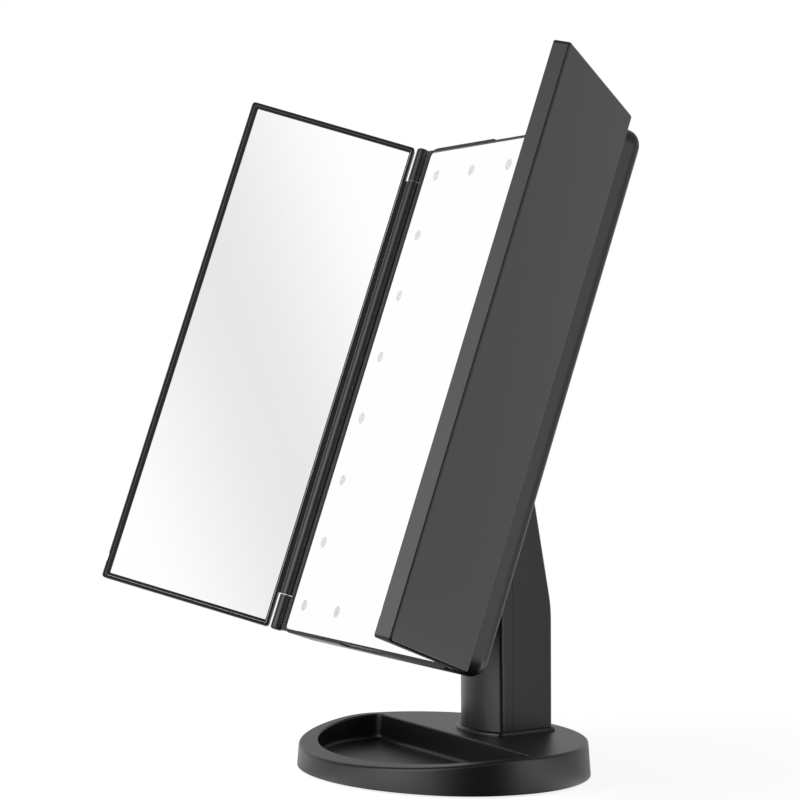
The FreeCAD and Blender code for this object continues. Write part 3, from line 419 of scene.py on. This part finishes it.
# The room is white to the eye and in the mirrors, but for one soft grey band. Satin plastic meets a
# floor whose light changes round the room, by azimuth, with a dim gap at the front, and walls that
# follow it but are dimmer at the left. Pale cards stand above: azimuth, elevation, half width, half
# height, soft edge and light.
FILL_LIGHT = 0.35
TOP_LIGHT = 0.3
WALL_TOP = (10, 45)
FLOOR_RING = (
    (-180, 1.1), (-160, 1.05), (-140, 0.95), (-118, 0.72), (-102, 0.85), (-86, 1.9), (-74, 1.8), (-60, 0.8),
    (-47, 0.12), (-36, 0.03), (-3, 0.03), (8, 0.5), (20, 2.1), (30, 2.0), (41, 0.85), (52, 0.6), (84, 0.65),
    (98, 0.52), (113, 0.8), (135, 0.8), (155, 0.62), (168, 1.0), (180, 1.1),
)
LEFT_REACH = (-165, -110)
LEFT_SHADE = 0.45
WALLS = tuple(
    (azimuth, light * (LEFT_SHADE if LEFT_REACH[0] <= azimuth <= LEFT_REACH[1] else 1.0))
    for azimuth, light in FLOOR_RING
)
CARDS = (
    (-78, 19, 26, 13, 20, 3.0),
    (-28, 30, 24, 10, 14, 0.2),
)
BRIGHTEST = max(light for _, light in FLOOR_RING)
BAND_AXIS = (63.6, 19.8)
BAND_MIDDLE = (-33.2, 18.2)
BAND_HALF = 0.075
BAND_DEPTH = 0.19
BAND_REACH = (30, 15)
FIRST_BOUNCE = 0.5


def wall_light(tree, look, ring):
    """Light of a ring in a direction, as satin plastic meets it."""
    ahead = add(tree, "SeparateXYZ", {0: look}).outputs
    turn = add(tree, "Math", {0: ahead["Y"], 1: ahead["X"]}, operation="ARCTAN2").outputs[0]
    turn = add(tree, "MapRange", {"Value": turn, "From Min": -math.pi, "From Max": math.pi}).outputs[0]
    ramp = add(tree, "ValToRGB", {0: turn})
    stops = ramp.color_ramp.elements
    while len(stops) < len(ring):
        stops.new(1.0)
    for stop, (azimuth, light) in zip(stops, ring):
        stop.position = (azimuth + 180) / 360
        stop.color = [light / BRIGHTEST] * 3 + [1]
    return add(tree, "Math", {0: ramp.outputs["Color"], 1: BRIGHTEST}, operation="MULTIPLY").outputs[0]


def card_light(tree, look, rise, azimuth, elevation, half_width, half_height, soft, light):
    """Light of a card with soft edges in a direction."""
    turned = add(tree, "Mapping", {"Vector": look, "Rotation": (0, 0, -math.radians(azimuth))})
    ahead = add(tree, "SeparateXYZ", {0: turned.outputs[0]}).outputs
    aside = add(tree, "Math", {0: ahead["Y"], 1: ahead["X"]}, operation="ARCTAN2").outputs[0]
    above = add(tree, "Math", {0: rise, 1: math.radians(elevation)}, operation="SUBTRACT").outputs[0]
    for offset, half in ((aside, half_width), (above, half_height)):
        size = add(tree, "Math", {0: offset}, operation="ABSOLUTE").outputs[0]
        outer, inner = math.radians(half + soft / 2), math.radians(half - soft / 2)
        inside = add(tree, "MapRange", {"Value": size, "From Min": outer, "From Max": inner},
                     interpolation_type="SMOOTHSTEP").outputs[0]
        light = add(tree, "Math", {0: inside, 1: light}, operation="MULTIPLY").outputs[0]
    return light


def grey_band(tree, look):
    """How much of the white the band takes away in a direction."""
    across = add(tree, "VectorMath", {0: look, 1: direction(*BAND_AXIS)},
                 operation="DOT_PRODUCT").outputs["Value"]
    across = add(tree, "Math", {0: across}, operation="ABSOLUTE").outputs[0]
    grey = add(tree, "MapRange", {
        "Value": across, "From Min": BAND_HALF, "From Max": 0.0, "To Max": BAND_DEPTH},
        interpolation_type="SMOOTHSTEP").outputs[0]
    near = add(tree, "VectorMath", {0: look, 1: direction(*BAND_MIDDLE)},
               operation="DOT_PRODUCT").outputs["Value"]
    edges = [math.cos(math.radians(angle)) for angle in BAND_REACH]
    near = add(tree, "MapRange", {"Value": near, "From Min": edges[0], "From Max": edges[1]}).outputs[0]
    return add(tree, "Math", {0: grey, 1: near}, operation="MULTIPLY").outputs[0]


def white_world():
    """Background of the picture, and what the mirrors and the plastic reflect."""
    world = bpy.data.worlds.new("white_studio")
    world.use_nodes = True
    world.cycles.sampling_method = "NONE"
    tree = world.node_tree
    tree.nodes.clear()
    path = add(tree, "LightPath").outputs
    look = add(tree, "TexCoord").outputs["Generated"]
    height = add(tree, "SeparateXYZ", {0: look}).outputs["Z"]
    rise = add(tree, "Math", {0: height}, operation="ARCSINE").outputs[0]
    low, high = [math.radians(angle) for angle in WALL_TOP]
    top = add(tree, "MapRange", {"Value": rise, "From Min": low, "From Max": high},
              interpolation_type="SMOOTHSTEP").outputs[0]
    light = add(tree, "Mix", {0: top, 2: wall_light(tree, look, WALLS), 3: TOP_LIGHT}).outputs[0]
    for card in CARDS:
        glow = card_light(tree, look, rise, *card)
        light = add(tree, "Math", {0: light, 1: glow}, operation="ADD").outputs[0]
    mirrored = add(tree, "Math", {0: 1.0, 1: grey_band(tree, look)}, operation="SUBTRACT").outputs[0]
    strength = add(tree, "Mix", {0: path["Is Glossy Ray"], 2: FILL_LIGHT, 3: light}).outputs[0]
    # A mirror shows the room only to the eye. What it throws onto matt faces is the plain fill.
    straight = add(tree, "Math", {0: path["Diffuse Depth"], 1: FIRST_BOUNCE},
                   operation="LESS_THAN").outputs[0]
    in_mirror = add(tree, "Math", {0: path["Is Singular Ray"], 1: straight}, operation="MULTIPLY").outputs[0]
    strength = add(tree, "Mix", {0: in_mirror, 2: strength, 3: mirrored}).outputs[0]
    clear = add(tree, "Math", {0: path["Is Camera Ray"], 1: path["Is Transmission Ray"]},
                operation="MAXIMUM").outputs[0]
    strength = add(tree, "Mix", {0: clear, 2: strength, 3: 1.0}).outputs[0]
    room = add(tree, "Background", {"Color": (1, 1, 1, 1), "Strength": strength})
    add(tree, "OutputWorld", {"Surface": room.outputs[0]})
    return world


scene.world = white_world()

# White paper under the stand. It bounces light and takes the shadow near the stand. Further out it
# is white to the eye and in the mirrors. Satin plastic meets it as it meets the walls.
FLOOR_HALF = 6.0
FLOOR_DROP_MM = 0.05
SHADOW_NEAR = 0.12
SHADOW_FAR = 0.32
FLOOR_GLOW = 0.84
PAPER = "#E8E8E8"
PAPER_IN_SHADOW = "#9A9A9A"


def white_paper():
    """Matt paper, shaded near the stand and white further out."""
    paper = bpy.data.materials.new("white_paper")
    paper.use_nodes = True
    tree = paper.node_tree
    tree.nodes.clear()
    path = add(tree, "LightPath").outputs
    place = add(tree, "TexCoord").outputs["Object"]
    away = add(tree, "VectorMath", {0: place}, operation="LENGTH").outputs["Value"]
    fade = add(tree, "MapRange", {"Value": away, "From Min": SHADOW_NEAR, "From Max": SHADOW_FAR},
               interpolation_type="SMOOTHSTEP").outputs[0]
    matt = add(tree, "BsdfDiffuse", {"Color": linear(PAPER)})
    shaded = add(tree, "BsdfDiffuse", {"Color": linear(PAPER_IN_SHADOW)})
    glow = add(tree, "Emission", {"Strength": FLOOR_GLOW})
    near = add(tree, "AddShader", {0: shaded.outputs[0], 1: glow.outputs[0]})
    white = add(tree, "Emission", {"Strength": 1.0})
    eye = add(tree, "MixShader", {0: fade, 1: near.outputs[0], 2: white.outputs[0]})
    satin = add(tree, "Emission", {"Strength": wall_light(tree, place, FLOOR_RING)})
    surface = add(tree, "MixShader", {0: path["Is Glossy Ray"], 1: matt.outputs[0], 2: satin.outputs[0]})
    for seen in ("Is Singular Ray", "Is Transmission Ray", "Is Camera Ray"):
        surface = add(tree, "MixShader", {0: path[seen], 1: surface.outputs[0], 2: eye.outputs[0]})
    add(tree, "OutputMaterial", {"Surface": surface.outputs[0]})
    return paper


def paper_floor():
    """The floor, a little below the foot."""
    shape = bmesh.new()
    bmesh.ops.create_grid(shape, x_segments=1, y_segments=1, size=FLOOR_HALF)
    bmesh.ops.translate(shape, verts=shape.verts, vec=(0, 0, -FLOOR_DROP_MM * MM))
    mesh = bpy.data.meshes.new("floor")
    shape.to_mesh(mesh)
    shape.free()
    mesh.materials.append(white_paper())
    floor = bpy.data.objects.new("floor", mesh)
    scene.collection.objects.link(floor)
    return floor


paper_floor()

# The centre mirror shows the white room alone: its own rim and the left wing stay out of reflections.
for name in ("main_frame", "left_wing_shell", "left_wing_bezel", "left_mirror", "left_mirror_pad"):
    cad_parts[name].visible_glossy = False

scene.view_settings.view_transform = "Standard"
